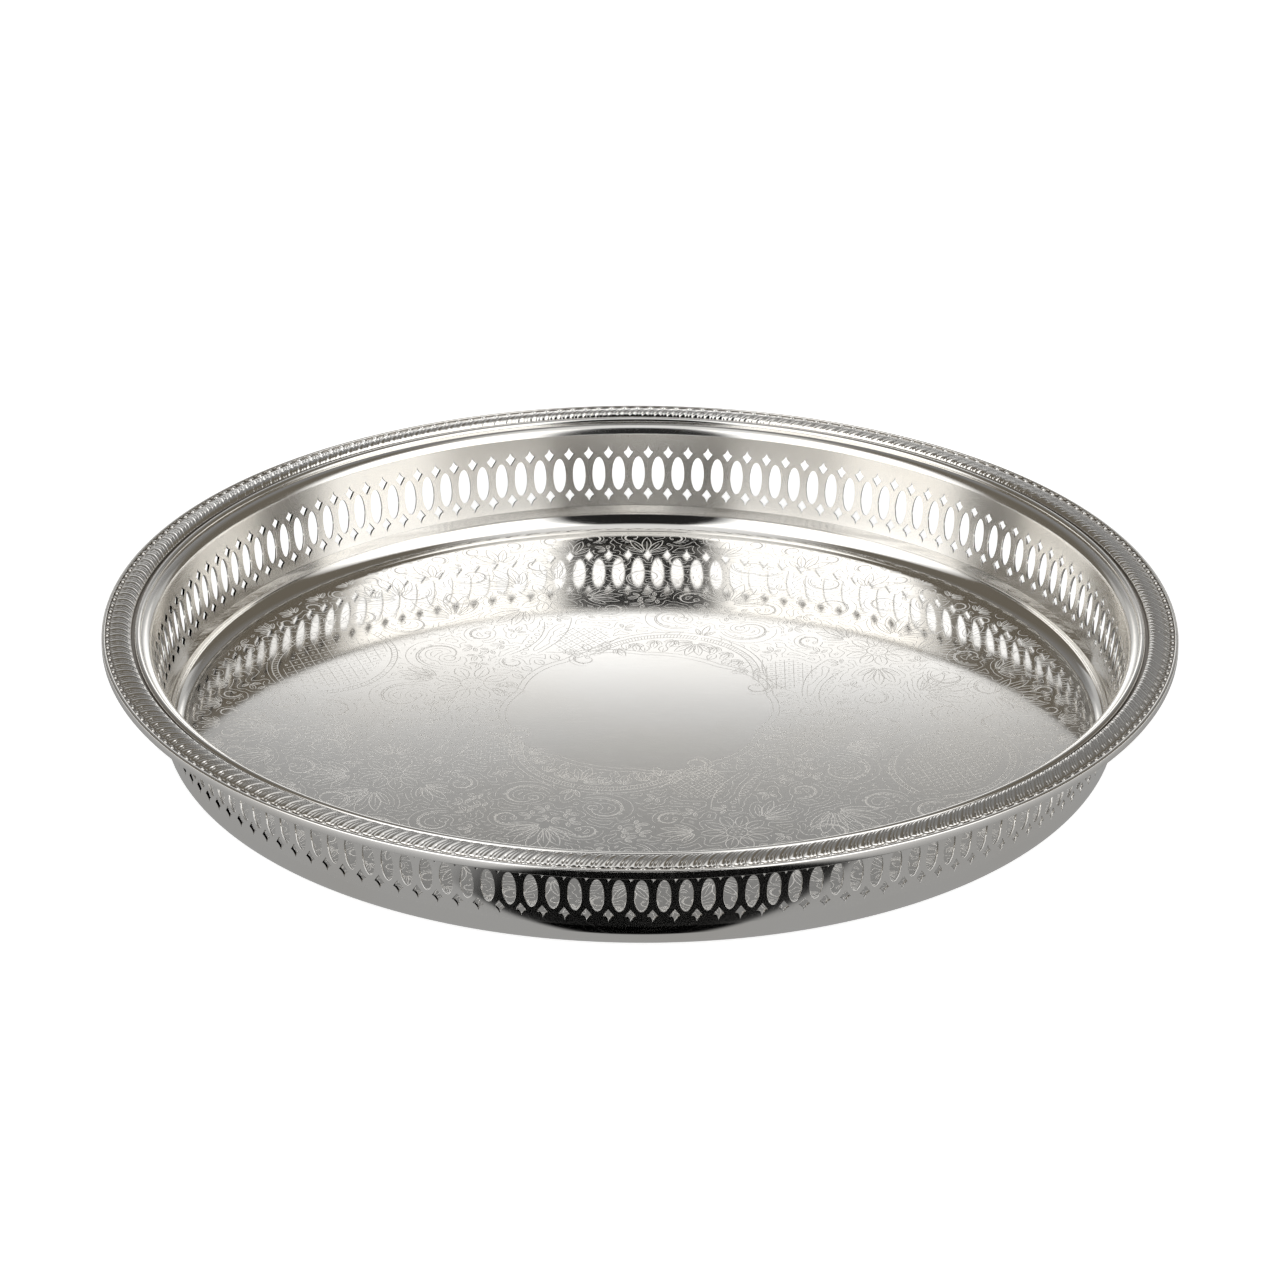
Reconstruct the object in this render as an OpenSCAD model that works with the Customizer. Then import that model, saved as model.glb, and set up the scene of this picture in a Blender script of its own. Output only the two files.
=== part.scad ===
// Round gallery tray (a salver with a raised pierced wall): an engraved floor pressed as a shallow
// pan, a flared gallery band pierced with ovals and diamonds, and a reeded gadroon border that is
// made as two half rings and laid on the band's turned-out edge.
// The origin is the middle of the underside, +Z is up, and all lengths are in millimetres.

/* [Overall size] */
// Diameter over the outer edge of the border
outer_d = 330; // [280:5:380]
// Height from the underside to the crown of the gadroon border
total_h = 37; // [36:0.5:44]

/* [Floor pan] */
// Sheet thickness of the floor
floor_t = 0.9; // [0.7:0.1:1.4]
// Outside radius of the corner between floor and wall
corner_r = 6.6; // [5:0.1:7]
// Height of the soldered seam between pan and gallery band
seam_z = 8.1; // [8:0.1:9]

/* [Gallery band] */
// Sheet thickness of the wall
wall_t = 0.8; // [0.6:0.1:1.2]
// Outward lean of the wall from upright, in degrees
flare = 8.2; // [5:0.1:9]
// Radius of the shoulder where the wall turns out under the border
shoulder_r = 3.2; // [2:0.1:4]
// Ovals round the whole gallery, and diamonds in each of the two rows
pierce_count = 144; // [96:12:144]
// Length of an oval along the wall
oval_h = 11.3; // [9:0.1:12]
// Share of the pitch that an oval's width takes
oval_share = 0.635; // [0.5:0.005:0.66]
// Length of a diamond along the wall
diamond_h = 4.5; // [3:0.1:5]
// Share of the pitch that a diamond's width takes
diamond_share = 0.5; // [0.35:0.01:0.55]
// Turn of the piercings about the tray's axis, in degrees
band_turn = 1.55; // [0:0.05:2.5]

/* [Border] */
// Width of the rim from the border's outer edge to the mouth of the tray
border_w = 15.4; // [15:0.1:17]
// Height of the smooth outer lip
lip_h = 2.9; // [1.5:0.1:3.2]
// Turn of the two joints between the half rings about the tray's axis, in degrees
joint_turn = -2.6; // [-30:0.1:30]

/* [Hidden] */
$fn = 96;

// Radii, from the outer edge inwards
outer_r = outer_d / 2;
mouth_r = outer_r - border_w;

// Heights, from the crown of the border down
crown_above_reed = 0.95;
reed_z = total_h - crown_above_reed;
border_seat_z = reed_z - 1.5;
shoulder_z = border_seat_z - shoulder_r * (1 - sin(flare));

// The wall's outer face is a straight line that leans outwards by flare. Its inner face is at the
// mouth where the shoulder begins
function wall_out(z) = mouth_r + wall_t - (shoulder_z - z) * tan(flare);

// The shoulder is a bend of the sheet, whose thickness is measured square to its faces
bent_t = wall_t * cos(flare);
shoulder_at = [mouth_r + shoulder_r * cos(flare), border_seat_z - shoulder_r];
shoulder_steps = 8;

// Piercing rows: the middle of each row above the underside
oval_row_z = reed_z - 17.25;
upper_row_z = reed_z - 10.15;
lower_row_z = reed_z - 24.3;
pitch_deg = 360 / pierce_count;
pitch = 2 * PI * wall_out(oval_row_z) / pierce_count;
quarter_count = pierce_count / 4;
oval_points = 12;
diamond_points = 4;
// How far a piercing's outline is carried past each face of the sheet
spare = 0.6;

// Border section: radii of the round mouldings and where their middles stand
reed_r = 1.05;
reed_at = outer_r - 11.05;
gadroon_r = 3.5;
gadroon_at = outer_r - 6;
bead_r = 0.6;
bead_at = outer_r - 1.8;
lip_w = 1.1;
lip_round = 0.5;
lip_top_z = reed_z - 0.35;
web_top_z = reed_z - 0.95;

// ---- Shared pieces ----

// Points of an oval outline, its length along x. Four points make a diamond
function outline(w, h, n) = [for (i = [0 : n - 1]) [h / 2 * cos(i * 360 / n), w / 2 * sin(i * 360 / n)]];

// Sets a flat outline square to the leaning wall, at height z and turned by a about the axis, and
// carries it through the sheet
module through_wall(a, z) {
    rotate([0, 0, a])
        translate([wall_out(z) - wall_t - spare, 0, z])
            rotate([0, 90 + flare, 0])
                linear_extrude(wall_t + 2 * spare)
                    children();
}

// ---- Floor pan ----

// Section of the pan: floor, round corner and the short wall up to the seam
module pan_section() {
    corner_at = wall_out(corner_r) - corner_r;
    inner_r = corner_r - floor_t;
    square([corner_at, floor_t]);
    translate([corner_at, corner_r])
        intersection() {
            difference() {
                circle(corner_r);
                circle(inner_r);
            }
            translate([0, -corner_r])
                square(corner_r);
        }
    polygon([
        [corner_at + inner_r, corner_r],
        [corner_at + corner_r, corner_r],
        [wall_out(seam_z), seam_z],
        [wall_out(seam_z) - wall_t, seam_z]
    ]);
}

module floor_pan() {
    color([0.80, 0.79, 0.77])
        rotate_extrude()
            pan_section();
}

// ---- Gallery band ----

// Points of the shoulder on a face of radius r, from angle a to angle b above the horizontal
function shoulder(r, a, b) = [
    for (i = [0 : shoulder_steps])
        let (turned = a + (b - a) * i / shoulder_steps)
            shoulder_at + r * [-cos(turned), sin(turned)]
];

// Section of the band: the leaning wall, the shoulder and the edge turned out under the border
module band_section() {
    polygon(concat(
        [[wall_out(seam_z) - wall_t, seam_z], [wall_out(seam_z), seam_z]],
        shoulder(shoulder_r - bent_t, flare, 90),
        [[gadroon_at, border_seat_z - bent_t], [gadroon_at, border_seat_z]],
        shoulder(shoulder_r, 90, flare)
    ));
}

module oval_piercing(a) {
    through_wall(a, oval_row_z)
        polygon(outline(pitch * oval_share, oval_h, oval_points));
}

module diamond_piercing(a, z) {
    through_wall(a, z)
        polygon(outline(pitch * diamond_share, diamond_h, diamond_points));
}

// A quarter of the band. It starts and ends in the middle of a diamond
module band_quarter() {
    difference() {
        rotate_extrude(angle = 90)
            band_section();
        for (i = [0 : quarter_count - 1])
            oval_piercing((i + 0.5) * pitch_deg);
        for (i = [0 : quarter_count])
            for (z = [upper_row_z, lower_row_z])
                diamond_piercing(i * pitch_deg, z);
    }
}

// Exact quarter turns join into one ring without slivers
module gallery_band() {
    color([0.74, 0.73, 0.71])
        rotate([0, 0, band_turn])
            for (k = [0 : 3])
                rotate([0, 0, k * 90])
                    band_quarter();
}

// ---- Border ----

// The part of a round moulding that stands above the border's seat. Its crown is at height top
module moulding(at, r, top) {
    intersection() {
        translate([at, top - r])
            circle(r);
        translate([at - r, border_seat_z])
            square([2 * r, top - border_seat_z]);
    }
}

// Section of the border: a reed, the round of the gadroon, a bead and the smooth outer lip, joined
// by a web that rests on the band's turned-out edge
module border_section() {
    translate([reed_at, border_seat_z])
        square([outer_r - lip_w / 2 - reed_at, web_top_z - border_seat_z]);
    moulding(reed_at, reed_r, reed_z);
    moulding(gadroon_at, gadroon_r, total_h);
    moulding(bead_at, bead_r, web_top_z + bead_r);
    lip_section();
}

// The lip is a flat strip set on edge, with rounded outer corners
module lip_section() {
    inner = outer_r - lip_w;
    outer = outer_r - lip_round;
    bottom = lip_top_z - lip_h;
    translate([inner, bottom])
        square([lip_w - lip_round, lip_h]);
    translate([inner, bottom + lip_round])
        square([lip_w, lip_h - 2 * lip_round]);
    for (z = [bottom + lip_round, lip_top_z - lip_round])
        translate([outer, z])
            circle(lip_round);
}

// Half of the border ring, from the joint at turn on round by 180 degrees
module half_border(turn) {
    color([0.83, 0.81, 0.79])
        rotate([0, 0, turn])
            rotate_extrude(angle = 180)
                border_section();
}

module border_front() {
    half_border(joint_turn + 180);
}

module border_back() {
    half_border(joint_turn);
}

floor_pan();
gallery_band();
border_front();
border_back();
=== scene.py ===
"""Looks of the round silver gallery tray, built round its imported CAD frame.

The tray is four pieces, as in the CAD: an engraved floor pan, a pierced gallery band and the two
halves of a gadroon border. Lengths are in metres. Angles about the tray run anticlockwise from +X.
"""

import math

import bpy
import numpy as np
from mathutils import Matrix, Vector
from mathutils.geometry import delaunay_2d_cdt
from mathutils.kdtree import KDTree


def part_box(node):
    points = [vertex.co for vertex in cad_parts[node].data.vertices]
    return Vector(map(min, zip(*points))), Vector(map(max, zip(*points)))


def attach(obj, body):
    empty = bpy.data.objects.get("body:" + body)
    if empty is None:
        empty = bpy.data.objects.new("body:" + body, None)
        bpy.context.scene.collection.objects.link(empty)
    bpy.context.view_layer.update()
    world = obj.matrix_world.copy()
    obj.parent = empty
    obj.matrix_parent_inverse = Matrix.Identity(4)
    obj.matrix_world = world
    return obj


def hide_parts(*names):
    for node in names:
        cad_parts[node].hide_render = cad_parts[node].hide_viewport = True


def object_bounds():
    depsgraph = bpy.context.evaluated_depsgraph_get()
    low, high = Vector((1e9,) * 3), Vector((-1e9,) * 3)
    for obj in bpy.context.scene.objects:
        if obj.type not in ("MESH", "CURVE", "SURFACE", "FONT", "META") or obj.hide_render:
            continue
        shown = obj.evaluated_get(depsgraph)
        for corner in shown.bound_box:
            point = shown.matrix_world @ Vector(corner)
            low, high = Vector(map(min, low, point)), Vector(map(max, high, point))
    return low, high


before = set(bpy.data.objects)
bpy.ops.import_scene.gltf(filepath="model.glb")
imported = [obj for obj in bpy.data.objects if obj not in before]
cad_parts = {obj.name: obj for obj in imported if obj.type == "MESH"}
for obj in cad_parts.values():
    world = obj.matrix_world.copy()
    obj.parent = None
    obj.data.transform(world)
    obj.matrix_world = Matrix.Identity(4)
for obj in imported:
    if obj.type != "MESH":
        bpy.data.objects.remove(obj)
cad_low, cad_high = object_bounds()

MM = 0.001
TURN = 2 * math.pi

# ---- Sizes, from the frame where it holds them ----

pan_low, pan_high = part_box("floor_pan")
band_low, band_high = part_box("gallery_band")

OUTER_R = (cad_high.x - cad_low.x) / 2
TOP_Z = cad_high.z
SEAM_Z = pan_high.z
SEAM_R = pan_high.x
SEAT_Z = band_high.z
FLANGE_R = band_high.x

FLOOR_T = 0.9 * MM
WALL_T = 0.8 * MM
CORNER_R = 6.6 * MM
REED_Z = TOP_Z - 0.95 * MM
FLARE = math.radians(8.2)

RING_STEPS = 576


def wall_radius(z):
    """Radius of the wall's outer face at height z."""
    return SEAM_R + (z - SEAM_Z) * math.tan(FLARE)


# ---- Mesh building ----


def make_object(name, points, faces):
    """A smooth-shaded mesh object from points and faces."""
    mesh = bpy.data.meshes.new(name)
    mesh.from_pydata(np.asarray(points).tolist(), [], faces)
    mesh.shade_smooth()
    piece = bpy.data.objects.new(name, mesh)
    bpy.context.scene.collection.objects.link(piece)
    return piece


def add_mask(piece, name, values):
    """A number per point that the materials read, such as how deep in a groove a point lies."""
    layer = piece.data.attributes.new(name, "FLOAT", "POINT")
    layer.data.foreach_set("value", np.asarray(values, np.float32))


def bend(centre, radius, start, end, steps):
    """A round run of a section: columns are radius, height and the two parts of the normal."""
    angles = np.radians(np.linspace(start, end, steps + 1))
    way = math.copysign(1, radius)
    reach = abs(radius)
    return np.column_stack(
        [
            centre[0] + reach * np.cos(angles),
            centre[1] + reach * np.sin(angles),
            way * np.cos(angles),
            way * np.sin(angles),
        ]
    )


def straight(a, b, steps=1):
    """A straight run of a section from a to b. Its normal points to the right of the way it runs."""
    a, b = np.array(a), np.array(b)
    along = (b - a) / np.linalg.norm(b - a)
    shares = np.linspace(0, 1, steps + 1)[:, None]
    run = a + (b - a) * shares
    normal = np.tile([along[1], -along[0]], (steps + 1, 1))
    return np.hstack([run, normal])


def revolve(name, runs, steps=RING_STEPS):
    """A closed ring or disc from the runs of its section, each smooth in itself. Runs follow each
    other round the section with the solid on their left, and meet at sharp edges."""
    section = []
    for run in runs:
        section += [tuple(row) for row in run[:-1]]
    count = len(section)
    angles = np.arange(steps) * TURN / steps
    ring = np.column_stack([np.cos(angles), np.sin(angles)])
    points, index = [], []
    for r, z, _, _ in section:
        first = len(points)
        if r < 1e-9:
            points.append((0, 0, z))
            index.append(np.full(steps, first))
        else:
            points += [(r * c, r * s, z) for c, s in ring]
            index.append(first + np.arange(steps))
    faces, normals = [], []
    at = 0
    for run in runs:
        for k in range(len(run) - 1):
            low, high = index[at], index[(at + 1) % count]
            for i in range(steps):
                j = (i + 1) % steps
                corners = [(low[i], i, k), (low[j], j, k), (high[j], j, k + 1), (high[i], i, k + 1)]
                kept = [c for n, c in enumerate(corners) if c[0] != corners[n - 1][0]]
                if len(kept) < 3:
                    continue
                faces.append([int(c[0]) for c in kept])
                normals += [
                    (run[m][2] * ring[a][0], run[m][2] * ring[a][1], run[m][3]) for _, a, m in kept
                ]
            at += 1
    piece = make_object(name, points, faces)
    piece.data.normals_split_custom_set(normals)
    return piece


# ---- Floor pan ----


def make_pan():
    """The pan: flat floor, round corner and upstand."""
    foot_r = wall_radius(0)
    centre = (foot_r - CORNER_R * (1 - math.sin(FLARE)) / math.cos(FLARE), CORNER_R)
    lean = math.degrees(FLARE)
    inner_r = CORNER_R - FLOOR_T
    outer_top = (wall_radius(SEAM_Z), SEAM_Z)
    inner_top = (wall_radius(SEAM_Z) - WALL_T, SEAM_Z)
    outer_arc = bend(centre, CORNER_R, -90, -lean, 20)
    inner_arc = bend(centre, -inner_r, -lean, -90, 20)
    floor = straight((centre[0], FLOOR_T), (0, FLOOR_T), 1)
    floor[:, 2:] = (0, 1)
    return revolve(
        "engraved_pan",
        [
            straight((0, 0), (centre[0], 0)),
            outer_arc,
            straight(tuple(outer_arc[-1][:2]), outer_top),
            straight(outer_top, inner_top),
            straight(inner_top, tuple(inner_arc[0][:2])),
            inner_arc,
            floor,
            straight((0, FLOOR_T), (0, 0)),
        ],
    )


# ---- Engraving: lines in the plane of the ornament ----
# Points are complex numbers, in shares of the tray's outer radius. The real part runs to the right
# of the ornament's axis and the imaginary part runs from the medallion's middle towards its foot.

LINE = 0.27 * MM
FINE = 0.20 * MM
ECHO = 0.18 * MM
ECHO_STEPS = (0.0095, 0.019, 0.0285, 0.038)
ECHO_GRID = 0.0035
ENGRAVED_R = 0.86
FLAT_R = 0.843 * OUTER_R
ORNAMENT_TURN = math.radians(70)
ORNAMENT_SHIFT = -0.019
MEDALLION_UP = 0.05
MEDALLION_R = 0.235


def polar(radius, degrees):
    return radius * np.exp(1j * np.radians(degrees))


def arc(centre, radius, start, end, steps=18):
    return centre + polar(radius, np.linspace(start, end, steps + 1))


def bow(a, b, bulge, steps=9):
    """A curve from a to b that bulges sideways by a share of its length."""
    t = np.linspace(0, 1, steps + 1)
    return a + (b - a) * t + 4 * t * (1 - t) * bulge * 1j * (b - a)


def coil(centre, radius, start, turn, shrink, steps=30):
    """A spiral that winds through turn degrees while its radius falls to shrink of the first."""
    t = np.linspace(0, 1, steps + 1)
    return centre + radius * shrink**t * np.exp(1j * np.radians(start + turn * t))


def leaf(base, tip, fat=0.2):
    rib = base + 0.75 * (tip - base)
    return [(bow(base, tip, fat), LINE), (bow(base, tip, -fat), LINE), (bow(base, rib, 0.02, 4), FINE)]


def fan(base, heading, spread, count, length, fat=0.14):
    """Leaves that spread from one point, the middle ones longest."""
    lines = []
    for k in range(count):
        side = 2 * k / (count - 1) - 1 if count > 1 else 0
        reach = length * (1 - 0.3 * side * side)
        tip = base + polar(reach, heading + side * spread / 2)
        lines += leaf(base + 0.15 * (tip - base), tip, fat)
    return lines


def ring_of_dots(centre, radius, count, dot, start=0, sweep=360):
    steps = start + sweep * (np.arange(count) + 0.5) / count
    return [(arc(centre + polar(radius, a), dot, 0, 360, 6), FINE) for a in steps]


def daisy(centre, radius, petals, start=0):
    lines = [(arc(centre, radius * 0.3, 0, 360), LINE)]
    lines += ring_of_dots(centre, radius * 0.17, 6, radius * 0.05)
    lines += [(arc(centre, radius * 0.06, 0, 360, 8), FINE)]
    for k in range(petals):
        heading = start + 360 * k / petals
        base = centre + polar(radius * 0.32, heading)
        lines += leaf(base, centre + polar(radius, heading), 0.26)
    return lines


def comma(centre, radius, start, hand=1, frill=7):
    """A C-scroll: a double line that winds into a round end, with dots along its inner edge and a
    frill of short strokes outside."""
    turn = 330 * hand
    lines = [
        (coil(centre, radius, start, turn, 0.34), LINE),
        (coil(centre, radius * 0.86, start, turn * 0.93, 0.42), LINE),
        (coil(centre, radius * 1.14, start + 12 * hand, turn * 0.5, 0.82), FINE),
    ]
    end = centre + polar(radius * 0.34, start + turn)
    lines += [(arc(end, radius * 0.17, 0, 360, 12), LINE)]
    lines += ring_of_dots(centre, radius * 0.66, 6, radius * 0.06, start + 20 * hand, 150 * hand)
    for k in range(frill):
        a = start + hand * (24 + 20 * k)
        lines += [
            (bow(centre + polar(radius * 1.18, a), centre + polar(radius * 1.42, a + 9 * hand), 0.2, 4), FINE)
        ]
    return lines


def rope(path, width, ticks):
    """Two parallel lines joined by slanting ticks."""
    along = np.gradient(path)
    side = 1j * along / np.abs(along)
    outer = path + side * width
    lines = [(path, LINE), (outer, LINE)]
    places = np.linspace(0, len(path) - 1, ticks + 2)[1:-1]
    steps = np.arange(len(path))
    for p in places:
        a = np.interp(p, steps, path.real) + 1j * np.interp(p, steps, path.imag)
        q = min(p + 0.4, len(path) - 1)
        b = np.interp(q, steps, outer.real) + 1j * np.interp(q, steps, outer.imag)
        lines += [(np.array([a, (a + b) / 2, b]), FINE)]
    return lines


def trellis(centre, half_w, half_h, pitch, turn):
    """A diaper of crossed lines with a dot in each lozenge, inside a rounded panel."""
    lines = []

    def inside(p):
        q = (p - centre) * np.exp(-1j * np.radians(turn))
        return np.abs(q.real / half_w) ** 3 + np.abs(q.imag / half_h) ** 3 < 1

    reach = half_w + half_h
    count = int(reach / pitch)
    for slant in (52, 128):
        way = polar(1, turn + slant)
        for k in range(-count, count + 1):
            run = centre + 1j * way * k * pitch + way * np.linspace(-reach, reach, 40)
            kept = run[inside(run)]
            if len(kept) > 2:
                lines.append((kept, FINE))
    for i in range(-count, count + 1):
        for j in range(-count, count + 1):
            step = pitch / math.sin(math.radians(76))
            spot = centre + (i + 0.5) * step * polar(1, turn + 52) + (j + 0.5) * step * polar(1, turn + 128)
            if inside(np.array([spot]))[0]:
                lines.append((arc(spot, pitch * 0.13, 0, 360, 5), FINE))
    return lines


def medallion_edge(reach=1.0):
    """A quarter of the plain medallion's scalloped edge."""
    angles = np.linspace(0, 90, 61)
    squarish = (np.abs(np.cos(np.radians(angles))) ** 2.5 + np.abs(np.sin(np.radians(angles))) ** 2.5) ** -0.4
    scallops = 1 + 0.035 * np.abs(np.sin(np.radians(5 * angles)))
    return MEDALLION_R * reach * squarish * scallops * np.exp(1j * np.radians(angles))


def quarter_of_ornament():
    """One quarter of the ornament, right of the axis and towards the foot."""
    lines = [(medallion_edge(), LINE), (medallion_edge(1.05), LINE)]
    edge = medallion_edge(1.06)
    for k in range(3, 58, 5):
        lines += leaf(edge[k], edge[k] * 1.10 + 0.004j, 0.3)

    # Inner daisy, with leaves that reach the medallion
    lines += daisy(0.337 + 0.0j, 0.075, 8)
    lines += fan(0.298 + 0.0j, 180, 80, 3, 0.07, 0.2)
    lines += fan(0.405 + 0.0j, 0, 70, 5, 0.085)

    # The arc under the medallion, with acanthus inside it and a volute at its end
    lines += rope(arc(0.17j, 0.158, 12, 90, 30), -0.013, 34)
    lines += [(arc(0.17j, 0.182, 20, 90, 24), LINE)]
    lines += comma(0.172 + 0.172j, 0.030, 60, -1, 0)
    lines += fan(0.318j, -90, 150, 7, 0.062, 0.16)
    for a in (28, 44, 60, 74):
        root = 0.17j + polar(0.152, a)
        lines += fan(root, a + 200, 60, 3, 0.042, 0.2)

    # Trellis panel and the beaded scroll beside it
    lines += trellis(0.205 + 0.245j, 0.055, 0.066, 0.017, -18)
    lines += [(bow(0.145 + 0.29j, 0.255 + 0.175j, -0.16), LINE)]
    lines += [(bow(0.268 + 0.165j, 0.262 + 0.335j, 0.10), LINE)]
    lines += [(bow(0.315 + 0.14j, 0.305 + 0.30j, 0.14), LINE)]
    for k in range(9):
        spot = 0.292 + 0.006 * math.sin(k / 8 * math.pi) + (0.155 + 0.0175 * k) * 1j
        lines += [(arc(spot, 0.006, 0, 360, 8), FINE)]

    # Scrolls between the motifs
    lines += comma(0.077 + 0.405j, 0.056, -150, 1)
    lines += comma(0.075 + 0.495j, 0.036, 150, -1, 5)
    lines += comma(0.205 + 0.40j, 0.032, -60, -1, 5)
    lines += comma(0.296 + 0.112j, 0.026, 30, -1, 4)
    lines += comma(0.437 + 0.098j, 0.068, -120, 1, 9)
    lines += comma(0.395 + 0.205j, 0.036, 90, -1, 5)
    lines += comma(0.545 + 0.20j, 0.05, -30, -1, 7)
    lines += comma(0.50 + 0.345j, 0.045, 160, 1, 7)
    lines += comma(0.19 + 0.56j, 0.05, -100, 1, 7)

    # Outer daisy and the fans round it
    lines += daisy(0.337 + 0.404j, 0.068, 10, 10)
    lines += fan(0.36 + 0.34j, -70, 90, 5, 0.085)
    lines += fan(0.405 + 0.43j, 25, 100, 6, 0.10)
    lines += fan(0.345 + 0.475j, 80, 110, 6, 0.10)
    lines += fan(0.27 + 0.43j, 150, 90, 5, 0.075)

    # Palmette on the axis, and large fans beside the side panels
    lines += fan(0.50j, 90, 150, 9, 0.095)
    lines += fan(0.345j, 90, 70, 3, 0.05)
    lines += fan(0.47 + 0.255j, 40, 120, 7, 0.12)
    lines += fan(0.60 + 0.30j, 20, 120, 7, 0.11)

    # Side diaper panel, bounded by ropes
    lines += trellis(0.617 + 0.0j, 0.088, 0.115, 0.021, 0)
    lines += rope(bow(0.515 + 0.0j, 0.60 + 0.135j, 0.16, 16), 0.011, 16)
    lines += rope(bow(0.72 + 0.0j, 0.64 + 0.135j, -0.16, 16), -0.011, 16)

    # Two rings of scrolls and leaves, out to the wall
    for k in range(7):
        a = 17 + 12 * k
        hand = 1 if k % 2 else -1
        lines += comma(polar(0.675, a), 0.043, a + 90 * hand, hand, 6)
        lines += fan(polar(0.70, a + 6), a + 6, 110, 5, 0.075)
    for k in range(15):
        a = 3 + 6 * k
        lines += comma(polar(0.775, a), 0.022, a + 180, 1 if k % 2 else -1, 3)
        lines += fan(polar(0.785, a + 3), a + 3, 120, 5, 0.045)
    return lines


def sprig(spot, size, heading):
    lines = fan(spot, heading, 130, 3, size, 0.22)
    return lines + [(bow(spot, spot - polar(size * 0.7, heading), 0.25, 5), FINE)]


def fill_gaps(lines, pitch=0.034, clear=0.024):
    """Sprigs in every place of the quarter that no line comes near."""
    taken = np.concatenate([points for points, _ in lines])
    found = []
    rows = int(1.0 / pitch)
    for i in range(rows):
        for j in range(rows):
            spot = (i + 0.5 * (j % 2)) * pitch + j * pitch * 0.87j
            radius, angle = abs(spot), math.degrees(np.angle(spot))
            edge = np.interp(angle, np.linspace(0, 90, 61), np.abs(medallion_edge(1.1)))
            if radius < edge or radius > 0.90:
                continue
            if np.abs(taken - spot).min() > clear:
                found += sprig(spot, 0.030, angle + 120 * math.sin(9 * radius + 5 * math.radians(angle)))
    return found


def dense(points, gap=0.003):
    """The same line, with points no further apart than gap."""
    run = np.concatenate([[0], np.cumsum(np.abs(np.diff(points)))])
    at = np.linspace(0, run[-1], max(3, int(run[-1] / gap) + 1))
    return np.interp(at, run, points.real) + 1j * np.interp(at, run, points.imag)


def runs_where(points, keep):
    """The stretches of a line whose points are kept."""
    cuts = np.flatnonzero(np.diff(keep.astype(int))) + 1
    pieces = zip(np.split(points, cuts), np.split(keep, cuts))
    return [run for run, kept in pieces if kept[0] and len(run) > 2]


def own_quarter(lines):
    """The lines' stretches that lie in the ornament's own quarter."""
    found = []
    for points, half in lines:
        fine = dense(points)
        keep = (fine.real > -1e-6) & (fine.imag > -1e-6)
        found += [(run, half) for run in runs_where(fine, keep)]
    return found


def gap_field(lines):
    """How far each point of a square grid lies from the nearest line. Nothing is far inside the
    medallion, which stays plain."""
    spots = np.concatenate([points for points, _ in lines])
    tree = KDTree(len(spots))
    for k, spot in enumerate(spots):
        tree.insert((spot.real, spot.imag, 0), k)
    tree.balance()
    ticks = np.arange(0, ENGRAVED_R + ECHO_GRID, ECHO_GRID)
    field = np.array([[tree.find((u, v, 0))[2] for v in ticks] for u in ticks])
    grid = ticks[:, None] + 1j * ticks[None, :]
    edge = medallion_edge()
    limit = np.interp(np.angle(grid), np.angle(edge), np.abs(edge))
    field[np.abs(grid) < limit] = 0
    return field


def level_links(field, level):
    """For each grid edge that a level crosses, the crossed edges it joins on to."""
    above = field > level
    corners_above = above[:-1, :-1].astype(int) + above[1:, :-1] + above[1:, 1:] + above[:-1, 1:]
    links = {}
    for i, j in np.argwhere((corners_above > 0) & (corners_above < 4)).tolist():
        corners = [(i, j), (i + 1, j), (i + 1, j + 1), (i, j + 1)]
        sides = zip(corners, corners[1:] + corners[:1])
        crossed = [(min(a, b), max(a, b)) for a, b in sides if above[a] != above[b]]
        for a, b in zip(crossed[::2], crossed[1::2]):
            links.setdefault(a, []).append(b)
            links.setdefault(b, []).append(a)
    return links


def level_lines(field, level):
    """Lines that keep a constant distance, level, from the ornament's own lines."""
    links = level_links(field, level)

    def place(edge):
        a, b = edge
        share = (level - field[a]) / (field[b] - field[a])
        return complex(a[0] + share * (b[0] - a[0]), a[1] + share * (b[1] - a[1])) * ECHO_GRID

    lines = []
    for start in sorted(links, key=lambda edge: len(links[edge])):
        chain = [start]
        while links[chain[-1]]:
            following = links[chain[-1]].pop()
            links[following].remove(chain[-1])
            chain.append(following)
        if len(chain) > 8:
            points = np.array([place(edge) for edge in chain])
            points[1:-1] = (points[:-2] + 2 * points[1:-1] + points[2:]) / 4
            lines.append(np.append(points[:-1:2], points[-1]))
    return lines


def to_floor(points):
    """Places ornament points on the tray's floor, in metres."""
    u = points.real + ORNAMENT_SHIFT
    v = MEDALLION_UP - points.imag
    along = np.array([math.cos(ORNAMENT_TURN), math.sin(ORNAMENT_TURN)])
    across = np.array([math.sin(ORNAMENT_TURN), -math.cos(ORNAMENT_TURN)])
    return OUTER_R * (u[:, None] * across + v[:, None] * along)


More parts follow.
